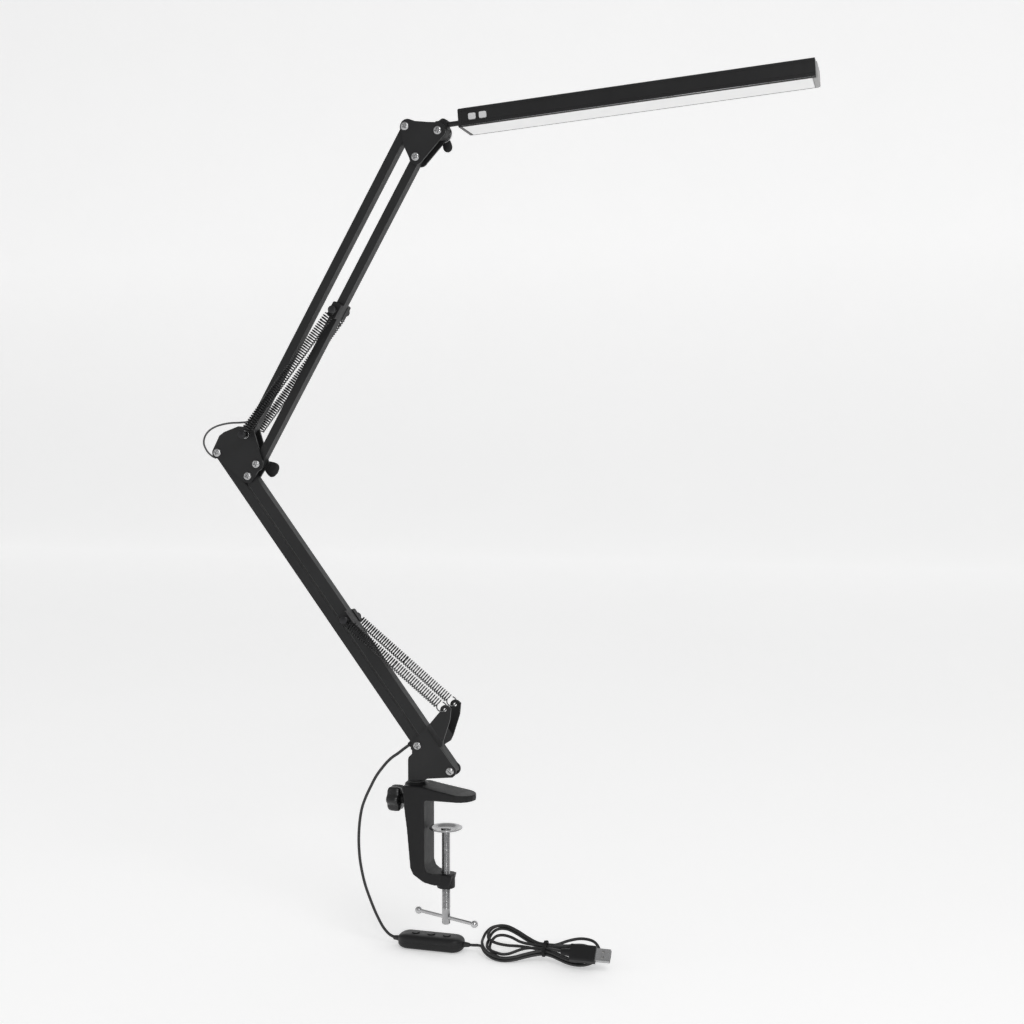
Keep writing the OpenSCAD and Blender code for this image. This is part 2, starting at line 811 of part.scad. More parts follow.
module usb_cord() {
    color("black") {
        sweep(cord_route, cord_d);
        sweep(tail_route, cord_d);
        sweep(plug_route, cord_d);
    }
}

module ctl_shell(z0, z1, open_z) {
    translate([ctl[0], ctl[1], rest_z]) difference() {
        translate([0, 0, z0]) linear_extrude(z1 - z0) pill([ctl_size[0], ctl_size[1]], 6);
        translate([0, 0, open_z]) linear_extrude(z1 - z0 - 1.4 + eps)
            pill([ctl_size[0] - 2.8, ctl_size[1] - 2.8], 4.6);
        translate([0, 0, ctl_size[2] / 2]) rotate([0, 90, 0])
            cylinder(d = cord_d + 0.4, h = 90, center = true);
        if (z1 > 12) for (k = [-1, 0, 1])
            translate([16 * k, 0, z1 - 3]) cylinder(d = 8.6, h = 6);
    }
}

module controller_top_shell() {
    color("dimgray") ctl_shell(ctl_size[2] / 2, ctl_size[2], ctl_size[2] / 2 - eps);
}

module controller_bottom_shell() {
    color("dimgray") ctl_shell(0, ctl_size[2] / 2, 1.4);
}

module controller_board() {
    color("green") translate([ctl[0], ctl[1], rest_z + 2.6]) {
        cube([52, 15, 1.4], center = true);
        for (s = [-1, 1]) translate([21 * s, 0, -0.8]) cube([4, 12, 0.6], center = true);
    }
}

module ctl_button(k) {
    color("gray") translate([ctl[0] + 16 * k, ctl[1], rest_z + ctl_size[2]]) {
        translate([0, 0, -4]) cylinder(d = 8, h = 4.9);
        translate([0, 0, -4]) cylinder(d = 9.6, h = 1.6);
    }
}

module controller_power_button() {
    ctl_button(-1);
}

module controller_brighter_button() {
    ctl_button(0);
}

module controller_dimmer_button() {
    ctl_button(1);
}

// Tapered sleeves where the cord meets the controller
module cord_reliefs() {
    color("black") for (s = [-1, 1])
        translate([ctl[0] + s * ctl_size[0] / 2, ctl[1], rest_z + ctl_size[2] / 2])
            rotate([0, 90 * s, 0]) difference() {
                cylinder(d1 = 5.6, d2 = 4, h = 6);
                translate([0, 0, -1]) cylinder(d = cord_d, h = 9);
            }
}

module hank_frame() {
    translate([0, hank_y, rest_z]) rotate([hank_tilt, 0, 0]) children();
}

// The spare cord, wound flat and pinched at its waist
module cord_hank() {
    color("black") hank_frame() linear_extrude(hank_t) union() {
        translate([hank_left[0], hank_left[1]]) circle(r = hank_left[2]);
        translate([hank_right[0], hank_right[1]]) circle(r = hank_right[2]);
        polygon([
            [40, 47.5], [62, 38], [77, 28.5], [88, 28.5], [104, 35.5], [116, 40.4], [116, 4.6],
            [104, 8], [88, 12.5], [77, 12.5], [62, 7.5], [40, 0.5]
        ]);
    }
}

module cord_tie() {
    color("black") hank_frame() translate([80.6, 11.6, -0.8]) difference() {
        cube([3.6, 17.8, hank_t + 1.6]);
        translate([-1, 0.8, 0.8]) cube([6, 16.2, hank_t]);
    }
}

// Places its children at the plug: X along it, its middle at the origin
module plug_frame() {
    hank_frame() translate(plug) rotate([0, 0, plug_turn]) rotate([plug_roll, 0, 0]) children();
}

module usb_plug_body() {
    color("black") plug_frame() rotate([0, 90, 0]) {
        translate([0, 0, -9]) linear_extrude(24) pill([8, 16], 2.2);
        translate([0, 0, -18]) cylinder(d1 = 5.4, d2 = 7.6, h = 9 + eps);
    }
}

module usb_plug_shell() {
    color("silver") plug_frame() translate([15, 0, 0]) difference() {
        translate([0, -6, -2.25]) cube([14, 12, 4.5]);
        translate([-1, -5.6, -1.85]) cube([16, 11.2, 3.7]);
        for (s = [-1, 1]) translate([6, 2.8 * s - 1.2, 1]) cube([2.4, 2.4, 3]);
    }
}

module usb_plug_contacts() {
    color("white") plug_frame() translate([15, -5.5, -1.75]) cube([13, 11, 1.8]);
}

clamp_frame();
swivel_bush();
clamp_screw();
pressure_pad();
tommy_bar();
swivel_lock_knob();
base_bracket();
swivel_post();
base_pivot_screws();
base_pivot_nuts();
cord_gland();
lower_rear_bar();
lower_front_bar();
lower_spring_pin();
lower_spring_clip();
lower_springs_arm_half();
lower_springs_base_half();
elbow_plate_front();
elbow_plate_rear();
elbow_pivot_screws();
elbow_pivot_nuts();
elbow_wing_nut();
elbow_cable();
upper_rear_bar();
upper_front_bar();
upper_spring_pin();
upper_spring_clip();
upper_springs();
upper_spring_ends();
head_plate_front();
head_plate_rear();
head_pivot_screws();
head_pivot_nuts();
head_tilt_bolt();
head_tilt_washers();
head_wing_nut();
head_knuckle();
head_stem();
head_housing();
head_diffuser();
head_led_board();
head_left_cap();
head_right_cap();
head_power_button();
head_dimmer_button();
usb_cord();
controller_top_shell();
controller_bottom_shell();
controller_board();
controller_power_button();
controller_brighter_button();
controller_dimmer_button();
cord_reliefs();
cord_hank();
cord_tie();
usb_plug_body();
usb_plug_shell();
usb_plug_contacts();
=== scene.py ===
"""The looks of a clamp-on architect desk lamp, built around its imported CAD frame. Metres, +Z up."""

import math

import bmesh
import bpy
import numpy as np
from mathutils import Matrix, Vector


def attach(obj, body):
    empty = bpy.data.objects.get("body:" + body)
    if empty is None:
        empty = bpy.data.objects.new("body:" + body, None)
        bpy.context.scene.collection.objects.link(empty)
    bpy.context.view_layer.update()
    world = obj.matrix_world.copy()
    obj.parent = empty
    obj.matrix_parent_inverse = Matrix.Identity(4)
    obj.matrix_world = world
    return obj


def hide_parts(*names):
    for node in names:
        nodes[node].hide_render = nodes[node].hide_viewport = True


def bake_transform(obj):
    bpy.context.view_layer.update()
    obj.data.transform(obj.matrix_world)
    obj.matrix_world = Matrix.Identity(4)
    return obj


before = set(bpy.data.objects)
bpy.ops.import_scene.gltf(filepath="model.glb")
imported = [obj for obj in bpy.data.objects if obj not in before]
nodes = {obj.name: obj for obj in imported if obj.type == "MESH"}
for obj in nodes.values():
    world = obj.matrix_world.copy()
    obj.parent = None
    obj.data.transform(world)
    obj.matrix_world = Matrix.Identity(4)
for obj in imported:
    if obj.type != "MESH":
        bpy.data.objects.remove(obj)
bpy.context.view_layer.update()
MM = 0.001

# Sizes in millimetres, the same as the CAD part's ------------------------------------------

LOWER_LENGTH, LOWER_LEAN = 337, 36.7
UPPER_LENGTH, UPPER_LEAN = 322, 30.0
SPRING_D, WIRE_D, SPRING_Y, EYE_R = 9.5, 1.2, 14.5, 3.0
OUT_Y, NUT_T = 7.4, 3.0
REST_Z = -162
CTL, CTL_SIZE = (-32, 50), (66, 22, 14.4)
CORD_D = 2.8
HANK_Y, HANK_TILT = 32, 25
HEAD_AT, HEAD_RISE, HEAD_SIZE = (19.6, 0, 617), 4.1, (308, 36, 16.5)


def lean(angle):
    """A unit step in X and Z along a bar that leans by angle degrees from upright."""
    return np.array([math.sin(math.radians(angle)), math.cos(math.radians(angle))])


low_dir, up_dir = lean(-LOWER_LEAN), lean(UPPER_LEAN)
across_low = np.array([math.cos(math.radians(LOWER_LEAN)), math.sin(math.radians(LOWER_LEAN))])
base_a = np.array([-25.0, 49.0])
base_b = base_a + (31.5, -22.1)
elbow_a = base_a + LOWER_LENGTH * low_dir
elbow_b = base_b + LOWER_LENGTH * low_dir
elbow_d = elbow_a + (40.3, -10.7)
elbow_c = elbow_d + (-10, 27.9)
head_d = elbow_d + UPPER_LENGTH * up_dir
head_c = elbow_c + UPPER_LENGTH * up_dir
tilt = head_d + (21.2, 22.3)
ear = np.array([4.5, 85.0])
low_pin = base_b + 170 * low_dir + 1.5 * across_low
up_pin = elbow_d + 164.5 * up_dir

# Camera ------------------------------------------------------------------------------------

CAMERA_AT = (0.4179, -1.2351, 0.3289)
CAMERA_TURN, CAMERA_DOWN, LENS = 16.0, 2.8, 50.0


def make_camera():
    data = bpy.data.cameras.new("camera")
    data.lens = LENS
    data.sensor_width = 36
    data.clip_start, data.clip_end = 0.05, 30
    camera = bpy.data.objects.new("camera", data)
    bpy.context.scene.collection.objects.link(camera)
    camera.location = CAMERA_AT
    camera.rotation_euler = (math.radians(90 - CAMERA_DOWN), 0, math.radians(CAMERA_TURN))
    bpy.context.scene.camera = camera


make_camera()

# Materials ---------------------------------------------------------------------------------


def new_material(name):
    m = bpy.data.materials.new(name)
    m.use_nodes = True
    tree = m.node_tree
    return m, tree, tree.nodes["Principled BSDF"]


def noise(tree, scale, detail=3.0, rough=0.55, stretch=None):
    """A noise texture in the piece's own coordinates, per metre, stretched along an axis if asked."""
    coords = tree.nodes.new("ShaderNodeTexCoord")
    out = tree.nodes.new("ShaderNodeTexNoise")
    out.inputs["Scale"].default_value = scale
    out.inputs["Detail"].default_value = detail
    out.inputs["Roughness"].default_value = rough
    source = coords.outputs["Object"]
    if stretch is not None:
        mapping = tree.nodes.new("ShaderNodeMapping")
        mapping.inputs["Scale"].default_value = stretch
        tree.links.new(source, mapping.inputs["Vector"])
        source = mapping.outputs["Vector"]
    tree.links.new(source, out.inputs["Vector"])
    return out.outputs["Fac"]


def ramp(tree, source, stops):
    """Maps a 0 to 1 value through colour stops, each (position, colour or grey)."""
    node = tree.nodes.new("ShaderNodeValToRGB")
    tree.links.new(source, node.inputs["Fac"])
    elements = node.color_ramp.elements
    while len(elements) < len(stops):
        elements.new(0.5)
    for element, (at, value) in zip(elements, stops):
        rgb = (value,) * 3 if isinstance(value, float) else value
        element.position = at
        element.color = (*rgb, 1)
    return node.outputs["Color"]


def bump(tree, shader, heights, distance=0.0002):
    """Adds surface relief from (height, strength) pairs."""
    normal = None
    for height, strength in heights:
        node = tree.nodes.new("ShaderNodeBump")
        node.inputs["Strength"].default_value = strength
        node.inputs["Distance"].default_value = distance
        tree.links.new(height, node.inputs["Height"])
        if normal is not None:
            tree.links.new(normal, node.inputs["Normal"])
        normal = node.outputs["Normal"]
    tree.links.new(normal, shader.inputs["Normal"])


def paint(name, dark, light, rough, grain=2600, grain_strength=0.12, spec=0.5, wave=0.05):
    """Painted or moulded surface: two shades in soft patches, scuffs in the gloss and a fine grain."""
    m, tree, shader = new_material(name)
    patches = noise(tree, 38, 4)
    tree.links.new(ramp(tree, patches, [(0.3, dark), (0.72, light)]), shader.inputs["Base Color"])
    scuffs = noise(tree, 210, 6, 0.7, (1, 1, 0.35))
    tree.links.new(ramp(tree, scuffs, [(0.35, rough - wave), (0.75, rough + wave)]),
                   shader.inputs["Roughness"])
    bump(tree, shader, [(noise(tree, grain, 2), grain_strength), (noise(tree, 120, 2), 0.04)])
    shader.inputs["Specular IOR Level"].default_value = spec
    return m


def metal(name, dark, light, rough, brushed=None, strength=0.05):
    """Bare or plated metal with faint brushing and tarnish."""
    m, tree, shader = new_material(name)
    shader.inputs["Metallic"].default_value = 1
    tarnish = noise(tree, 90, 5)
    tree.links.new(ramp(tree, tarnish, [(0.3, dark), (0.7, light)]), shader.inputs["Base Color"])
    marks = noise(tree, 900, 3, 0.6, brushed)
    tree.links.new(ramp(tree, marks, [(0.3, rough * 0.7), (0.75, rough * 1.4)]),
                   shader.inputs["Roughness"])
    bump(tree, shader, [(marks, strength)], 0.00005)
    return m


enamel = paint("enamel_black", (0.0125, 0.0127, 0.0132), (0.0165, 0.0167, 0.0172), 0.44, spec=0.3)
cast = paint("cast_powder_black", (0.0075, 0.0075, 0.008), (0.011, 0.011, 0.0115), 0.48, 1500, 0.3, spec=0.25)
plastic = paint("plastic_black", (0.007, 0.007, 0.0075), (0.010, 0.010, 0.0105), 0.5, 3200, 0.16, spec=0.3)
case_plastic = paint("case_plastic_black", (0.011, 0.011, 0.0115), (0.014, 0.014, 0.0145), 0.42, 3200, 0.12,
                     spec=0.3)
gloss_plastic = paint("plastic_gloss_black", (0.007, 0.007, 0.0075), (0.010, 0.010, 0.0105), 0.3, 900, 0.04)
head_paint = paint("head_anodised_black", (0.009, 0.009, 0.0095), (0.012, 0.012, 0.0125), 0.36, 4200, 0.07,
                   spec=0.35)
grey_cap = paint("cap_light_grey", (0.30, 0.30, 0.30), (0.34, 0.34, 0.34), 0.42, 2600, 0.08)
button_metal = paint("button_grey", (0.52, 0.52, 0.53), (0.58, 0.58, 0.59), 0.4, 2600, 0.05)
# Light-grey metal for the thin bead on the head's lower edges: a painted highlight for the bright line along
# the edge
lip_highlight_metal = metal("lip_painted_highlight", (0.26, 0.26, 0.262), (0.36, 0.36, 0.362), 0.3)
spring_steel = metal("spring_wire", (0.08, 0.08, 0.082), (0.13, 0.13, 0.132), 0.2)
# A darker copy of the spring wire above: painted shade for coils that look dark where they lie in front of
# the black bars
spring_shaded = metal("spring_wire_painted_shade", (0.03, 0.03, 0.031), (0.05, 0.05, 0.051), 0.24)
chrome = metal("chrome_plate", (0.42, 0.42, 0.425), (0.55, 0.55, 0.555), 0.1)
steel = metal("steel_zinc", (0.40, 0.40, 0.405), (0.54, 0.54, 0.545), 0.22)
dark_steel = metal("steel_black_oxide", (0.035, 0.035, 0.037), (0.06, 0.06, 0.062), 0.36)
turned = metal("steel_turned", (0.34, 0.34, 0.345), (0.48, 0.48, 0.485), 0.16, (1, 1, 12))
pad_steel = metal("steel_pressed", (0.34, 0.34, 0.345), (0.46, 0.46, 0.465), 0.18)
nylon = paint("nylon_black", (0.009, 0.009, 0.0095), (0.013, 0.013, 0.0135), 0.42, 1800, 0.05)
cord_rubber = paint("cord_pvc_black", (0.012, 0.012, 0.0125), (0.018, 0.018, 0.0185), 0.43, 1500, 0.08)
cable_grey = paint("cable_pvc_grey", (0.06, 0.06, 0.062), (0.08, 0.08, 0.082), 0.45, 1500, 0.08)
plug_white = paint("plug_insulator_white", (0.70, 0.70, 0.68), (0.78, 0.78, 0.76), 0.4, 2000, 0.04)
board = paint("board_white", (0.62, 0.66, 0.62), (0.70, 0.73, 0.70), 0.4, 3000, 0.05)


def diffuser_material():
    m, tree, shader = new_material("diffuser_opal")
    tone = ramp(tree, noise(tree, 60, 2), [(0.3, (0.80, 0.80, 0.80)), (0.7, (0.83, 0.83, 0.83))])
    tree.links.new(tone, shader.inputs["Base Color"])
    bump(tree, shader, [(noise(tree, 3600, 2), 0.06)])
    shader.inputs["Roughness"].default_value = 0.36
    shader.inputs["Subsurface Weight"].default_value = 0.2
    shader.inputs["Subsurface Radius"].default_value = (0.004, 0.004, 0.004)
    # A faint warm glow lifts the diffuser's brightness: painted light, as no lamp is lit inside the head
    shader.inputs["Emission Color"].default_value = (1, 0.99, 0.97, 1)
    shader.inputs["Emission Strength"].default_value = 0.04
    return m


diffuser = diffuser_material()

# Mesh helpers ------------------------------------------------------------------------------


def add_mesh(name, verts, faces, material, smooth=True):
    """A new object from points in millimetres."""
    mesh = bpy.data.meshes.new(name)
    mesh.from_pydata([tuple(np.asarray(v) * MM) for v in verts], [], [tuple(f) for f in faces])
    mesh.validate()
    mesh.update()
    obj = bpy.data.objects.new(name, mesh)
    bpy.context.scene.collection.objects.link(obj)
    mesh.materials.append(material)
    if smooth:
        mesh.polygons.foreach_set("use_smooth", [True] * len(mesh.polygons))
    return obj


def grid_faces(rows, cols, wrap=True, base=0):
    """Quads of a grid of points, its columns closed round if wrap."""
    out = []
    for i in range(rows - 1):
        for k in range(cols if wrap else cols - 1):
            a, b = i * cols + k, i * cols + (k + 1) % cols
            out.append((base + a, base + b, base + b + cols, base + a + cols))
    return out


class Shape:
    """Points and faces gathered from several parts, to become one mesh."""

    def __init__(self):
        self.verts, self.faces = [], []

    def add(self, verts, faces):
        base = len(self.verts)
        self.verts.extend(np.asarray(verts, float).tolist())
        self.faces.extend([tuple(base + i for i in f) for f in faces])
        return self

    def placed(self, verts, faces, matrix):
        pts = np.asarray(verts, float)
        m = np.array(matrix)
        return self.add(pts @ m[:3, :3].T + m[:3, 3], faces)

    def to_object(self, name, material, smooth=True):
        return add_mesh(name, self.verts, self.faces, material, smooth)


def tube(path, radius, sides=12, caps=True):
    """Points and faces of a round tube along a path, with frames carried along without twist."""
    p = np.asarray(path, float)
    r = np.broadcast_to(np.asarray(radius, float), len(p))
    t = np.gradient(p, axis=0)
    t /= np.linalg.norm(t, axis=1)[:, None]
    u = np.cross(t[0], [0.31, 0.87, 0.38])
    u /= np.linalg.norm(u)
    verts = []
    angles = np.linspace(0, 2 * math.pi, sides, endpoint=False)
    for i in range(len(p)):
        u = u - (u @ t[i]) * t[i]
        u /= np.linalg.norm(u)
        v = np.cross(t[i], u)
        verts.extend(p[i] + r[i] * (math.cos(a) * u + math.sin(a) * v) for a in angles)
    faces = grid_faces(len(p), sides)
    if caps:
        faces.append(tuple(range(sides))[::-1])
        faces.append(tuple((len(p) - 1) * sides + k for k in range(sides)))
    return verts, faces


def lathe(profile, segments=48):
    """Points and faces of a profile of (radius, height) turned about Z."""
    verts, faces = [], []
    angles = np.linspace(0, 2 * math.pi, segments, endpoint=False)
    for r, z in profile:
        verts.extend((r * math.cos(a), r * math.sin(a), z) for a in angles)
    faces = grid_faces(len(profile), segments)
    return verts, faces


def smooth_path(points, count):
    """A Catmull-Rom curve through points, resampled evenly to count points."""
    p = np.asarray(points, float)
    q = np.vstack([2 * p[0] - p[1], p, 2 * p[-1] - p[-2]])
    out = []
    for i in range(1, len(q) - 2):
        for t in np.linspace(0, 1, 24, endpoint=False):
            a, b, c, d = q[i - 1], q[i], q[i + 1], q[i + 2]
            out.append(0.5 * (2 * b + (c - a) * t + (2 * a - 5 * b + 4 * c - d) * t**2
                              + (3 * b - a - 3 * c + d) * t**3))
    out.append(q[-2])
    out = np.array(out)
    length = np.concatenate([[0], np.cumsum(np.linalg.norm(np.diff(out, axis=0), axis=1))])
    even = np.linspace(0, length[-1], count)
    return np.stack([np.interp(even, length, out[:, k]) for k in range(3)], axis=1)


def turn_to(origin, z_axis, x_hint=(0, 1, 0)):
    """A placement whose Z runs along z_axis, from an origin in millimetres."""
    z = Vector(z_axis).normalized()
    x = Vector(x_hint)
    x = (x - x.dot(z) * z).normalized()
    y = z.cross(x)
    m = Matrix((x, y, z)).transposed().to_4x4()
    m.translation = Vector(origin)
    return m


def bevel(obj, width, segments=2, angle=32):
    """Softens an object's edges with modifiers, width in millimetres."""
    weld = obj.modifiers.new("weld", "WELD")
    weld.merge_threshold = 1e-6
    flat = obj.modifiers.new("merge_flat_faces", "DECIMATE")
    flat.decimate_type = "DISSOLVE"
    flat.angle_limit = math.radians(0.5)
    edge = obj.modifiers.new("bevel", "BEVEL")
    edge.width = width * MM
    edge.segments = segments
    edge.limit_method = "ANGLE"
    edge.angle_limit = math.radians(angle)
    edge.use_clamp_overlap = True
    shade = obj.modifiers.new("even_shading", "WEIGHTED_NORMAL")
    shade.weight = 50
    return obj


def dress(node, material, edge=0.0, angle=32):
    """Gives a CAD node its material and, with modifiers only, its softened edges."""
    obj = nodes[node]
    obj.data.materials.clear()
    obj.data.materials.append(material)
    obj.data.polygons.foreach_set("use_smooth", [True] * len(obj.data.polygons))
    if edge:
        bevel(obj, edge, 2, angle)
    else:
        obj.data.set_sharp_from_angle(angle=math.radians(30))
    return obj


def stand_for(obj, body, node_names):
    """Makes obj ride on a body in place of CAD nodes."""
    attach(obj, body)
    names = [node_names] if isinstance(node_names, str) else node_names
    if names:
        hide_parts(*names)
    return obj


def xz(p, y=0.0):
    return (float(p[0]), float(y), float(p[1]))


# Cords -------------------------------------------------------------------------------------

CORD_ROUTE = [
    (-33.4, 0, 49.3), (-36.3, 0, 47.2), (-41.4, 0.2, 43.4), (-47.5, 1, 38.6), (-53, 2, 34.8),
    (-58.5, 3.5, 30), (-64, 5, 24), (-71.5, 7, 14.5), (-78, 9, 3.5), (-84, 11.5, -7.5), (-89, 14, -19),
    (-92.8, 17.5, -33), (-95.3, 21, -48), (-96.6, 24.5, -61), (-97, 28, -74), (-96.3, 31.5, -87),
    (-94.5, 35, -100.5), (-91.5, 38.5, -113.5), (-87.8, 41.5, -126), (-84.5, 44.5, -136),
    (-80.5, 47, -145), (-75.5, 48.8, -151.4), (-71, 49.8, -154), (-65.5, 50, -154.8), (-60, 50, -154.8),
    (-45, 50, -154.8), (-30, 50, -154.8), (-15, 50, -154.8), (1, 50, -154.8),
]


def hanging_cord():
    path = smooth_path(CORD_ROUTE, 220)
    obj = Shape().add(*tube(path, CORD_D / 2, 14)).to_object("cord_hanging", cord_rubber)
    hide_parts("usb_cord")
    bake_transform(obj)
    return obj, path


hanging, hanging_path = hanging_cord()

# Spare cord: wound flat, pinched by its tie and lying with its far side sprung up ------------

TAIL = [(1.5, 50, -154.8), (6, 50, -154.8), (11, 49.7, -154.5), (16, 49.2, -154)]
# Points of the winding in the hank's own plane, with their height over it
WINDING = [
    # In at the left, along the near side to the tie
    (20.6, 15.6, 2.2), (24.5, 10.4, 1.6), (30, 5.8, 1.4), (37, 2.4, 1.4), (46, 1.4, 1.4), (56, 4, 1.4),
    (66, 9, 1.4), (75, 13, 1.4), (82, 14.8, 1.4),
    # The outer turn
    (90, 13.4, 1.4), (98, 10.2, 1.4), (106, 7, 1.4), (115, 5.4, 1.4), (123.5, 6.6, 1.4), (130, 10.6, 1.4),
    (133.6, 17, 1.4), (134, 24.5, 1.4), (131, 32, 1.4), (125.5, 37.4, 1.4), (118, 39.4, 1.4),
    (110, 38.6, 1.4), (101, 34.6, 1.4), (92, 28.8, 1.4), (83, 25.8, 1.4), (73, 27.6, 1.4), (62, 33.2, 1.4),
    (50, 40.4, 1.4), (39, 45, 1.4), (30, 45.6, 1.4), (23.4, 42.4, 1.4), (19.6, 35.5, 1.4), (18.8, 27, 1.6),
    (20.4, 18.6, 4.2), (24, 12.2, 4.2), (30, 6.9, 4.2), (37.5, 3.4, 4.2), (46.5, 2.2, 4.2), (56.5, 5, 4.2),
    (66, 10, 4.2), (75, 14.2, 4.2), (82, 16, 4.1),
    # The turn with the thin inner loop
    (90, 14.8, 4.1), (98, 11.6, 4.1), (106, 8.4, 4.1), (115, 6.9, 4.1), (122.5, 8.8, 4.1), (127.5, 13.6, 4.1),
    (129, 20.5, 4.1), (125.5, 26, 4.1), (118, 28.4, 4.1), (109, 27.4, 4.1), (100, 24.6, 4.1), (91, 22.8, 4.1),
    (82, 22.2, 4.1), (73, 22.8, 4), (64, 23.6, 3.9), (55.5, 26.8, 2.4), (45.5, 32.2, 1.5), (37, 33.9, 1.4),
    (31, 31.8, 1.4), (28.2, 26.4, 1.4), (27.8, 20.4, 1.5), (29.2, 14.2, 1.8), (34, 8.8, 1.5),
    (40.5, 5.3, 1.4), (47.5, 4.2, 1.4), (57, 6.9, 1.4), (66.5, 11.7, 1.4), (75, 15.5, 1.4), (82, 17.4, 1.4),
    # The turn that comes back along the middle
    (90, 16.2, 1.4), (98, 13.2, 1.4), (106, 10, 1.4), (115, 8.4, 1.4), (122, 10.4, 1.4), (127, 15, 1.4),
    (128.2, 21.5, 1.4), (124.8, 27.4, 1.4), (118, 30.2, 1.4), (109, 29.6, 1.4), (100, 27.4, 2.2),
    (91, 25.4, 3.8), (82, 24.9, 4.1), (73, 26.2, 4.1), (62, 31.8, 4.1), (50, 38.9, 4.1), (39.5, 43.4, 4.1),
    (31, 43.2, 4.1), (25.6, 39.2, 4.1), (23.4, 32.8, 4.1), (24.6, 26, 4.2), (29.4, 22, 4.2), (36, 20.9, 2.8),
    (45, 21.2, 1.5), (55, 21.8, 1.4), (65, 21.5, 1.4), (74, 20.4, 1.4), (82, 20, 1.4),
    # The last turn, with the lower inner strand
    (90, 18.6, 1.5), (98, 15.9, 1.4), (106, 12.7, 1.4), (114, 11.2, 1.4), (120, 13.6, 1.4),
    (123.4, 18.6, 1.4),
    (122, 24, 1.4), (116.5, 27.2, 1.4), (108.5, 26.6, 1.4), (100, 24.4, 1.4), (91, 22.8, 1.4),
    (82, 22.9, 1.4),
    (73, 24.9, 1.4), (62, 30.4, 1.4), (50, 37.5, 1.4), (39.5, 42.1, 1.4), (31.4, 41.8, 1.4),
    (26.8, 37.6, 1.4), (25, 31.5, 1.4), (24.6, 25, 1.4), (25, 18.6, 1.9), (27.6, 13.2, 3.8), (32, 9.8, 4.3),
    (37.5, 8.2, 3.9), (43.5, 8.2, 2.6), (49.5, 11, 1.6), (55.5, 15.4, 1.5), (63, 18.5, 2.6), (72, 18.9, 4),
    # Out through the tie and up to the plug
    (76, 18.8, 4.1), (81, 18.6, 4.3), (85, 18, 5.4), (88.5, 16.5, 7.2), (92, 14.4, 9.2), (95.5, 12.2, 11),
    (99, 10.4, 12.2), (102.5, 9.5, 12.5),
]


def hank_matrix(at=(0, 0, 0)):
    """Places something made in the hank's own frame, in millimetres."""
    return (Matrix.Translation(Vector((0, HANK_Y, REST_Z))) @ Matrix.Rotation(math.radians(HANK_TILT), 4, "X")
            @ Matrix.Translation(Vector(at)))


def spare_cord():
    m = np.array(hank_matrix())
    wound = np.array(WINDING) @ m[:3, :3].T + m[:3, 3]
    path = smooth_path(np.vstack([TAIL, wound]), 1700)
    obj = Shape().add(*tube(path, CORD_D / 2, 12)).to_object("cord_spare", cord_rubber)
    return obj, path


spare, spare_path = spare_cord()
stand_for(spare, "clamp", ["cord_hank"])


def cord_tie():
    """A narrow flat tie wrapped round the waist of the spare cord, with its lock."""
    loop = []
    for a in np.linspace(0, 2 * math.pi, 48, endpoint=False):
        c, s = math.cos(a), math.sin(a)
        loop.append((20.5 + 8.2 * np.sign(c) * abs(c) ** 0.55, 3 + 3.1 * np.sign(s) * abs(s) ** 0.6, c, s))
    rows = []
    for x, out in ((81, 0), (81, 0.7), (81.3, 1), (83.5, 1), (83.8, 0.7), (83.8, 0)):
        rows += [(x, y + out * 0.9 * c, z + out * 0.9 * s) for y, z, c, s in loop]
    rows += [(81, y, z) for y, z, c, s in loop]
    shape = Shape().placed(rows, grid_faces(7, 48), hank_matrix())
    lock = bmesh_box((4.2, 3.4, 1.6))
    shape.placed(*lock, hank_matrix((82.4, 25, 6.3)))
    return shape.to_object("cord_tie_band", plastic, False)


def bmesh_box(size):
    x, y, z = (v / 2 for v in size)
    verts = [(a, b, c) for a in (-x, x) for b in (-y, y) for c in (-z, z)]
    faces = [(0, 1, 3, 2), (4, 6, 7, 5), (0, 4, 5, 1), (2, 3, 7, 6), (0, 2, 6, 4), (1, 5, 7, 3)]
    return verts, faces


tie = stand_for(cord_tie(), "clamp", "cord_tie")

# Springs -----------------------------------------------------------------------------------


def helix(z0, z1, pitch, r, per_turn=14, phase=0.0):
    """Points of a coil along Z."""
    turns = (z1 - z0) / pitch
    n = int(turns * per_turn) + 1
    a = np.linspace(0, 2 * math.pi * turns, n) + phase
    return np.stack([r * np.cos(a), r * np.sin(a), np.linspace(z0, z1, n)], axis=1)


def placed_along(shape, verts_faces, p, y, angle):
    """Adds a part made along Z, leaning by angle degrees, at an [x, z] point and a height y."""
    verts, faces = verts_faces
    m = Matrix.Translation(Vector(xz(p, y))) @ Matrix.Rotation(math.radians(angle), 4, "Y")
    shape.placed(verts, faces, m)


def eye_part(top=8.6):
    """A closed wire eye round a pin that lies along Y, with its shank up to the coil at height top."""
    a = np.linspace(math.radians(-60), math.radians(250), 34)
    ring = np.stack([EYE_R * np.cos(a), 0 * a, EYE_R * np.sin(a)], axis=1)
    r = (SPRING_D - WIRE_D) / 2
    lead = np.array([[-2.4, 0, 3.6], [-1.6, 0, 5.2], [0.4, 0.4, 6.6], [2.6, 0.8, 7.8], [r * 0.9, 2.2, 8.6]])
    lead[:, 2] = EYE_R + (lead[:, 2] - EYE_R) * (top - EYE_R) / (8.6 - EYE_R)
    path = smooth_path(np.vstack([ring[:-2:2], lead]), 60)
    return tube(path, WIRE_D / 2, 10)


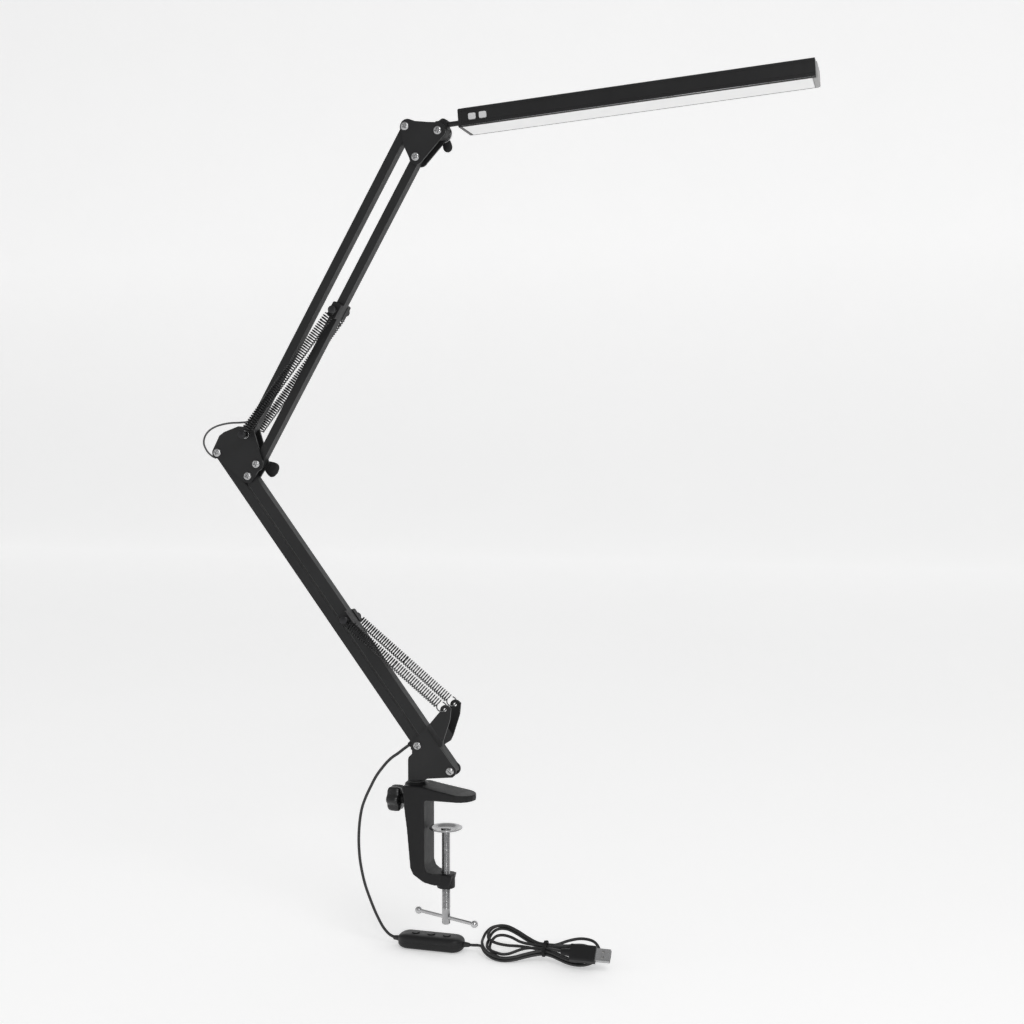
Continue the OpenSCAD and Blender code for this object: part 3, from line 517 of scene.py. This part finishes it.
def hook_part():
    """A round loop through a lug, turned half across it, that opens into the coil's first turn."""
    r, turn = EYE_R + 1.5, math.radians(52)
    a = np.linspace(math.radians(-205), math.radians(120), 52)
    ring = np.stack([r * np.sin(a) * math.sin(turn), r * np.sin(a) * math.cos(turn),
                     r - r * np.cos(a)], axis=1)
    return tube(ring, WIRE_D * 0.5, 12)


def coil_part(z0, z1, pitch, phase=0.0):
    r = (SPRING_D - WIRE_D) / 2
    return tube(helix(z0, z1, pitch, r, 14, phase), WIRE_D / 2, 8)


low_run = float(np.linalg.norm(low_pin - ear))
low_angle = math.degrees(math.atan2(low_pin[0] - ear[0], low_pin[1] - ear[1]))
up_run = float(np.linalg.norm(up_pin - elbow_c))
up_angle = math.degrees(math.atan2(up_pin[0] - elbow_c[0], up_pin[1] - elbow_c[1]))


def make_springs():
    arm_half, base_half, coils, ends = Shape(), Shape(), Shape(), Shape()
    pitch = 2.45
    for y in (-SPRING_Y, SPRING_Y):
        placed_along(arm_half, eye_part(5.2), low_pin, y, low_angle + 180)
        placed_along(arm_half, coil_part(5.2, low_run / 2 + 0.5, pitch), low_pin, y, low_angle + 180)
        placed_along(base_half, hook_part(), ear, y, low_angle)
        placed_along(base_half, coil_part(8.8, low_run / 2 + 0.5, pitch), ear, y, low_angle)
        placed_along(coils, eye_part(6.5), elbow_c, y, up_angle)
        placed_along(coils, coil_part(6.5, up_run - 12, pitch), elbow_c, y, up_angle)
        placed_along(ends, eye_part(6.5), up_pin, y, up_angle + 180)
        placed_along(ends, coil_part(6.5, 14, pitch), up_pin, y, up_angle + 180)
    # The coils nearer the arm and all of the upper springs take the darker copy of the spring wire as painted
    # shade; the lower coils take the lighter copy
    stand_for(arm_half.to_object("lower_spring_upper_coils", spring_shaded), "lower_spring_tops",
              "lower_springs_arm_half")
    stand_for(base_half.to_object("lower_spring_lower_coils", spring_steel), "lower_spring_feet",
              "lower_springs_base_half")
    stretch = coils.to_object("upper_spring_coils", spring_shaded)
    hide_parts("upper_springs")
    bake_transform(stretch)
    stand_for(ends.to_object("upper_spring_tops_eyes", spring_shaded), "upper_spring_tops",
              "upper_spring_ends")


make_springs()

# Screws, pins and nuts ---------------------------------------------------------------------


def pan_head(radius=4.1, height=2.4):
    """A domed head on Z with a cross recess, its underside at 0."""
    rings, sides = 30, 96
    verts = []
    angles = np.linspace(0, 2 * math.pi, sides, endpoint=False)
    for i in range(rings):
        r = radius * i / (rings - 1)
        u = r / radius
        dome = height * (1 - u**3.4) ** 0.5 if u < 1 else 0.0
        dome = max(dome, 0.0)
        for a in angles:
            x, y = r * math.cos(a), r * math.sin(a)
            arm = min(abs(x), abs(y))
            reach = max(abs(x), abs(y))
            cut = np.clip((0.72 - arm) / 0.2, 0, 1) * np.clip((2.5 - reach) / 0.25, 0, 1)
            verts.append((x, y, dome - 1.7 * cut * (1 - 0.3 * reach / 2.35)))
    faces = grid_faces(rings, sides)
    return verts, faces


def front_matrix(p, y, turn=0.0):
    """Places a part made along Z so that Z points towards the front (-Y) at an [x, z] point."""
    return (Matrix.Translation(Vector(xz(p, y))) @ Matrix.Rotation(math.radians(90), 4, "X")
            @ Matrix.Rotation(math.radians(turn), 4, "Z"))


def rod_part(r, y0, y1, chamfer=0.4):
    """A rod along -Z of the front placement, from height y0 to y1 behind it."""
    return lathe([(0.01, -y0), (r, -y0), (r, -(y1 - chamfer)), (r - chamfer, -y1), (0.01, -y1)], 32)


def add_screw(shape, p, back, turn):
    m = front_matrix(p, -OUT_Y, turn)
    shape.placed(*pan_head(), m)
    shape.placed(*rod_part(2.0, -0.2, back + OUT_Y), m)


def add_knob_pin(shape, p):
    """A pin right through an arm with a flat round head at each end."""
    m = front_matrix(p, 0)
    reach = SPRING_Y + 3.4
    profile = [(0.01, reach), (3.1, reach), (3.6, reach - 0.25), (3.7, reach - 0.6), (3.7, reach - 1.2),
               (3.5, reach - 1.6), (2.0, reach - 1.65)]
    whole = profile + [(r, -z) for r, z in reversed(profile)]
    shape.placed(*lathe(whole, 40), m)


def make_screws():
    base, elbow, head, bolt = Shape(), Shape(), Shape(), Shape()
    add_screw(base, base_a, OUT_Y + NUT_T, 17)
    add_screw(base, base_b, OUT_Y + NUT_T, 49)
    add_screw(elbow, elbow_a, OUT_Y + NUT_T, 62)
    add_screw(elbow, elbow_b, OUT_Y + NUT_T, 25)
    add_screw(elbow, elbow_d, OUT_Y + 12, 8)
    add_screw(head, head_c, OUT_Y + NUT_T, 33)
    add_screw(head, head_d, OUT_Y + NUT_T, 71)
    add_screw(bolt, tilt, OUT_Y + 13, 12)
    stand_for(base.to_object("base_screws", steel), "base", "base_pivot_screws")
    stand_for(elbow.to_object("elbow_screws", steel), "elbow", "elbow_pivot_screws")
    stand_for(head.to_object("head_screws", steel), "head_bracket", "head_pivot_screws")
    stand_for(bolt.to_object("head_tilt_screw", steel), "head_bracket", "head_tilt_bolt")
    mid, low, up = Shape(), Shape(), Shape()
    add_knob_pin(mid, elbow_c)
    obj = mid.to_object("elbow_spring_stud", dark_steel)
    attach(obj, "elbow")
    add_knob_pin(low, low_pin)
    add_knob_pin(up, up_pin)
    stand_for(low.to_object("lower_spring_stud", dark_steel), "lower_front", "lower_spring_pin")
    stand_for(up.to_object("upper_spring_stud", dark_steel), "upper_front", "upper_spring_pin")


make_screws()


def wing_nut_part(reach, height):
    """A wing nut on Z: a tapered boss and two rounded wings that stand up and out."""
    shape = Shape()
    shape.add(*lathe([(2.0, 0), (4.6, 0), (4.75, 0.3), (4.4, 4.6), (4.0, 6.6), (3.2, 7), (2.0, 7)], 40))
    for side in (1, -1):
        rows, around = 16, 28
        verts = []
        for i in range(rows):
            u = i / (rows - 1)
            x = 2.6 + u * (reach - 2.6)
            tip = math.sqrt(max(0.0, 1 - max(0.0, (u - 0.62) / 0.38) ** 2)) if u > 0.62 else 1.0
            half_h = (height / 2) * (0.62 + 0.38 * math.sin(min(u * 1.5, 1) * math.pi / 2)) * max(tip, 0.02)
            half_t = (1.9 - 0.7 * u) * max(tip, 0.02)
            for k in range(around):
                a = 2 * math.pi * k / around
                c, s = math.cos(a), math.sin(a)
                y = half_h * np.sign(c) * abs(c) ** 0.8
                z = 3.4 + 0.6 * u + half_t * np.sign(s) * abs(s) ** 0.8
                verts.append((side * x, side * y, z))
        faces = grid_faces(rows, around)
        faces.append(tuple((rows - 1) * around + k for k in range(around)))
        shape.add(verts, faces)
    return shape.verts, shape.faces


def rear_matrix(p, y, turn=0.0):
    """Places a part made along Z so that Z points away from the front (+Y)."""
    return (Matrix.Translation(Vector(xz(p, y))) @ Matrix.Rotation(math.radians(-90), 4, "X")
            @ Matrix.Rotation(math.radians(turn), 4, "Z"))


def make_wing_nuts():
    for name, body, node, p, y, turn, height in (
        ("elbow_wing", "elbow_wing", "elbow_wing_nut", elbow_d, OUT_Y + 0.4, 34, 15.0),
        ("head_wing", "head_wing", "head_wing_nut", tilt, OUT_Y + 3.2, 78, 9.0),
    ):
        shape = Shape().placed(*wing_nut_part(16.0, height), rear_matrix(p, y, turn))
        stand_for(shape.to_object(name, plastic), body, node)


make_wing_nuts()

# Clamp -------------------------------------------------------------------------------------


def clamp_screw():
    """The screw with its rolled thread, smooth nose and riveted neck."""
    pitch, depth, sides = 1.25, 0.62, 48
    low, high = -103.5, -31.2
    rows = int((high - low) / pitch * 10)
    verts = []
    angles = np.linspace(0, 2 * math.pi, sides, endpoint=False)
    profile_end = [(0.01, -118), (3.1, -118), (3.8, -117.3), (3.8, -104.6)]
    for r, z in profile_end:
        verts.extend((r * math.cos(a), r * math.sin(a), z) for a in angles)
    for i in range(rows):
        z = low + (high - low) * i / (rows - 1)
        fade = min(1, (z - low) / 1.5, (high - z) / 1.0)
        for a in angles:
            phase = (z / pitch - a / (2 * math.pi)) % 1
            tooth = abs(phase - 0.5) * 2
            cut = np.clip((tooth - 0.14) / 0.72, 0, 1)
            r = 3.98 - depth * fade * cut - (1 - fade) * 0.25
            verts.append((r * math.cos(a), r * math.sin(a), z))
    for r, z in ((2.7, -31.1), (2.7, -29.1), (4.4, -29.1), (4.5, -28.9), (4.4, -28.5), (3.4, -27.9),
                 (1.8, -27.6), (0.01, -27.5)):
        verts.extend((r * math.cos(a), r * math.sin(a), z) for a in angles)
    total = len(verts) // sides
    obj = add_mesh("clamp_screw_threaded", verts, grid_faces(total, sides), turned)
    obj.data.set_sharp_from_angle(angle=math.radians(60))
    return stand_for(obj, "screw", "clamp_screw")


def pressure_pad():
    profile = [(2.85, -30.8), (6.2, -30.8), (6.8, -30.6), (14.6, -28.5), (15.3, -28.1), (15.5, -27.6),
               (15.3, -27.1), (14.7, -27), (13.6, -27), (12.6, -27.1), (11.4, -27.6), (9.4, -28.7),
               (8.4, -29.1), (7.4, -29.2), (2.85, -29.2), (2.85, -30.8)]
    obj = Shape().add(*lathe(profile, 72)).to_object("pad_dished", pad_steel)
    obj.data.set_sharp_from_angle(angle=math.radians(50))
    return stand_for(obj, "pad", "pressure_pad")


def tommy_bar():
    turn = math.radians(-20.7)
    direction = (math.cos(turn), math.sin(turn), 0)
    profile = []
    for a in np.linspace(89, -60, 20):
        profile.append((3.4 * math.cos(math.radians(a)), -33.5 - 3.4 * math.sin(math.radians(a))))
    profile.append((1.7, -30.4))
    whole = profile + [(r, -z) for r, z in reversed(profile)]
    m = turn_to((0, 0, -111.8), direction, (0, 0, 1))
    obj = Shape().placed(*lathe(whole, 40), m).to_object("tommy_bar_turned", chrome)
    return stand_for(obj, "tommy", "tommy_bar")


def lock_knob():
    """The six-lobed thumb knob with a soft domed end, on its steel screw."""
    m = turn_to((-42.8, 0, -3), (-1, 0, 0), (0, 1, 0))
    sides = 120
    angles = np.linspace(0, 2 * math.pi, sides, endpoint=False)
    lobes = 0.5 + 0.5 * np.cos(6 * angles)
    rows = []
    for z, r, amount in ((-2.6, 0.01, 0), (-2.6, 4.6, 0), (-2.3, 5, 0), (-0.4, 5, 0), (0, 5.8, 0),
                         (0.1, 8.6, 0.3), (0.6, 10.0, 0.8), (1.5, 10.9, 1), (5, 11.2, 1), (9.4, 11.0, 1),
                         (11.3, 10.4, 0.95),
                         (12.4, 9.3, 0.8), (12.8, 8.0, 0.5), (12.7, 6.6, 0.1), (12.2, 5.7, 0), (11.5, 5.4, 0),
                         (11.4, 4.6, 0), (11.4, 0.01, 0)):
        for a, w in zip(angles, lobes):
            radius = r + amount * (1.45 * w**0.75 - 0.9 * (1 - w))
            rows.append((radius * math.cos(a), radius * math.sin(a), z))
    shape = Shape().placed(rows, grid_faces(18, sides), m)
    knob = shape.to_object("lock_knob_lobed", gloss_plastic)
    stand_for(knob, "lock_knob", "swivel_lock_knob")
    screw = Shape().placed(*lathe([(0.01, -8.2), (2.6, -8.2), (3, -7.8), (3, -2.5)], 32), m)
    obj = screw.to_object("lock_knob_screw", steel)
    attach(obj, "lock_knob")


def clamp_casting():
    """The cast frame with the soft edges of a sand casting, from the CAD node's own mesh."""
    source = nodes["clamp_frame"]
    mesh = source.data.copy()
    obj = bpy.data.objects.new("clamp_casting", mesh)
    bpy.context.scene.collection.objects.link(obj)
    weld = obj.modifiers.new("weld", "WELD")
    weld.merge_threshold = 1e-6
    remesh = obj.modifiers.new("remesh", "REMESH")
    remesh.mode = "VOXEL"
    remesh.voxel_size = 0.0007
    smooth = obj.modifiers.new("smooth", "SMOOTH")
    smooth.factor, smooth.iterations = 0.5, 7
    graph = bpy.context.evaluated_depsgraph_get()
    result = bpy.data.meshes.new_from_object(obj.evaluated_get(graph))
    obj.modifiers.clear()
    obj.data = result
    result.materials.clear()
    result.materials.append(cast)
    result.polygons.foreach_set("use_smooth", [True] * len(result.polygons))
    return stand_for(obj, "clamp", "clamp_frame")


clamp_screw()
pressure_pad()
tommy_bar()
lock_knob()
clamp_casting()
dress("swivel_bush", nylon, 0.2)
dress("swivel_post", enamel, 0.25)

# Base, arms and joints ---------------------------------------------------------------------

dress("base_bracket", enamel, 0.35)
dress("cord_gland", plastic, 0.15)
for name in ("base_pivot_nuts", "elbow_pivot_nuts", "head_pivot_nuts"):
    dress(name, steel, 0.25)
for name in ("lower_rear_bar", "lower_front_bar", "upper_rear_bar", "upper_front_bar"):
    dress(name, enamel, 0.5)
for name in ("elbow_plate_front", "elbow_plate_rear", "head_plate_front", "head_plate_rear"):
    dress(name, enamel, 0.4)
for name in ("lower_spring_clip", "upper_spring_clip"):
    dress(name, plastic, 0.5)
dress("head_tilt_washers", steel, 0.2)
dress("head_knuckle", plastic, 0.6)
dress("head_stem", enamel, 0.3)

ELBOW_LOOP = [
    (-5.6, -5.2), (-9.6, -3.4), (-14.6, 1), (-18.2, 8.2), (-17.2, 15), (-13.3, 20.2), (-7.6, 23.9), (0, 26.5),
    (10, 28.2), (20, 28.6), (27.5, 29.2), (32, 31), (35.5, 35),
]


def elbow_cable():
    points = [xz(elbow_a + np.array(p)) for p in ELBOW_LOOP]
    path = smooth_path(points, 120)
    obj = Shape().add(*tube(path, 0.9, 12)).to_object("elbow_loop", cable_grey)
    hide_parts("elbow_cable")
    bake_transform(obj)
    return obj


elbow_cable()

# Light head --------------------------------------------------------------------------------


def head_lip_highlights():
    """A thin bead along each lower edge of the housing, coloured light grey as a painted highlight for the
    light that edge catches.
    """
    length, depth, height = HEAD_SIZE
    m = Matrix.Translation(Vector(HEAD_AT)) @ Matrix.Rotation(math.radians(-HEAD_RISE), 4, "Y")
    shape = Shape()
    for side in (1, -1):
        path = [(x, side * (depth / 2 - 0.12), -height / 2 + 1.05) for x in (2.3, length / 2, length + 3.1)]
        shape.placed(*tube(np.array(path), 0.36, 16), m)
    obj = shape.to_object("head_lip_highlights", lip_highlight_metal)
    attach(obj, "head")


head_lip_highlights()
dress("head_housing", head_paint, 0.2, 40)
dress("head_diffuser", diffuser, 0.3)
dress("head_led_board", board)
dress("head_left_cap", head_paint, 0.6, 40)
dress("head_right_cap", grey_cap, 1.0, 40)
dress("head_power_button", button_metal, 0.35)
dress("head_dimmer_button", button_metal, 0.35)

# Controller and plug -----------------------------------------------------------------------



def controller_half(name, node, side):
    """One half of the soft-edged case: rounded sections that taper to each end, with its seam."""
    length, depth, height = CTL_SIZE
    rows, around, groove = 46, 28, 0.16
    verts = []
    for i in range(rows):
        u = -1 + 2 * i / (rows - 1)
        x = math.sin(u * math.pi / 2) * length / 2
        end = abs(x) / (length / 2)
        taper = (1 - ((end - 0.66) / 0.34) ** 2.2) ** 0.6 if end > 0.66 else 1.0
        half_y = 3.2 + (depth / 2 - 3.2) * taper
        half_z = 3.2 + (height / 2 - 3.2) * taper
        for k in range(around):
            a = math.pi * k / (around - 1)
            c, s = math.cos(a), math.sin(a)
            y = half_y * np.sign(c) * abs(c) ** 0.5
            z = half_z * abs(s) ** 0.5
            if k in (0, around - 1):
                y -= groove * np.sign(c)
            verts.append((x, y, side * (z + 0.05)))
    faces = grid_faces(rows, around, False)
    faces += [tuple(range(around)), tuple((rows - 1) * around + k for k in range(around))[::-1]]
    faces += [(i * around, (i + 1) * around, (i + 2) * around - 1, (i + 1) * around - 1)
              for i in range(rows - 1)]
    m = Matrix.Translation(Vector((CTL[0], CTL[1], REST_Z + height / 2)))
    if side < 0:
        faces = [f[::-1] for f in faces]
    shape = Shape().placed(verts, faces, m)
    obj = shape.to_object(name, case_plastic)
    obj.data.set_sharp_from_angle(angle=math.radians(50))
    return stand_for(obj, "clamp", node)


case_top = controller_half("controller_case_top", "controller_top_shell", 1)
case_bottom = controller_half("controller_case_bottom", "controller_bottom_shell", -1)
dress("controller_board", board)
for name in ("controller_power_button", "controller_brighter_button", "controller_dimmer_button"):
    dress(name, case_plastic, 0.4)
dress("cord_reliefs", cord_rubber, 0.3)
dress("usb_plug_body", plastic, 1.0, 40)
dress("usb_plug_shell", steel, 0.12)
dress("usb_plug_contacts", plug_white, 0.1)

# Studio ------------------------------------------------------------------------------------


def backdrop():
    """A pale floor that sweeps up into a wall far behind."""
    profile = [(-6000, 0)]
    profile += [(4500 + 1500 * math.sin(a), 1500 - 1500 * math.cos(a))
                for a in np.linspace(0, math.pi / 2, 24)]
    profile.append((6000, 6000))
    verts = []
    for x in (-9000, 9000):
        verts += [(x, y, z + REST_Z) for y, z in profile]
    n = len(profile)
    faces = [(i, i + 1, n + i + 1, n + i) for i in range(n - 1)]
    m, tree, shader = new_material("studio_white")
    tone = ramp(tree, noise(tree, 2.5, 2), [(0.3, (0.90, 0.90, 0.90)), (0.7, (0.91, 0.91, 0.91))])
    tree.links.new(tone, shader.inputs["Base Color"])
    shader.inputs["Roughness"].default_value = 0.9
    shader.inputs["Specular IOR Level"].default_value = 0.0
    shader.inputs["Emission Color"].default_value = (1, 1, 1, 1)
    shader.inputs["Emission Strength"].default_value = 0.35
    add_mesh("backdrop", verts, faces, m)


def area_light(name, at, target, size, power):
    data = bpy.data.lights.new(name, "AREA")
    data.shape = "RECTANGLE"
    data.size, data.size_y = size
    data.energy = power
    lamp = bpy.data.objects.new(name, data)
    bpy.context.scene.collection.objects.link(lamp)
    lamp.location = at
    lamp.rotation_euler = (Vector(target) - Vector(at)).to_track_quat("-Z", "Y").to_euler()


def studio():
    backdrop()
    world = bpy.data.worlds.new("studio")
    bpy.context.scene.world = world
    world.use_nodes = True
    world.node_tree.nodes["Background"].inputs["Color"].default_value = (1, 1, 1, 1)
    world.node_tree.nodes["Background"].inputs["Strength"].default_value = 0.42
    area_light("key", (1.5, -1.9, 2.6), (0, 0, 0.25), (1.2, 1.2), 22)
    area_light("front", (1.25, -2.7, 0.85), (0, 0, 0.25), (0.45, 0.45), 12)
    area_light("fill", (-2.2, -1.6, 1.0), (0, 0, 0.2), (1.6, 1.6), 4)
    bpy.context.scene.view_settings.view_transform = "Standard"


studio()
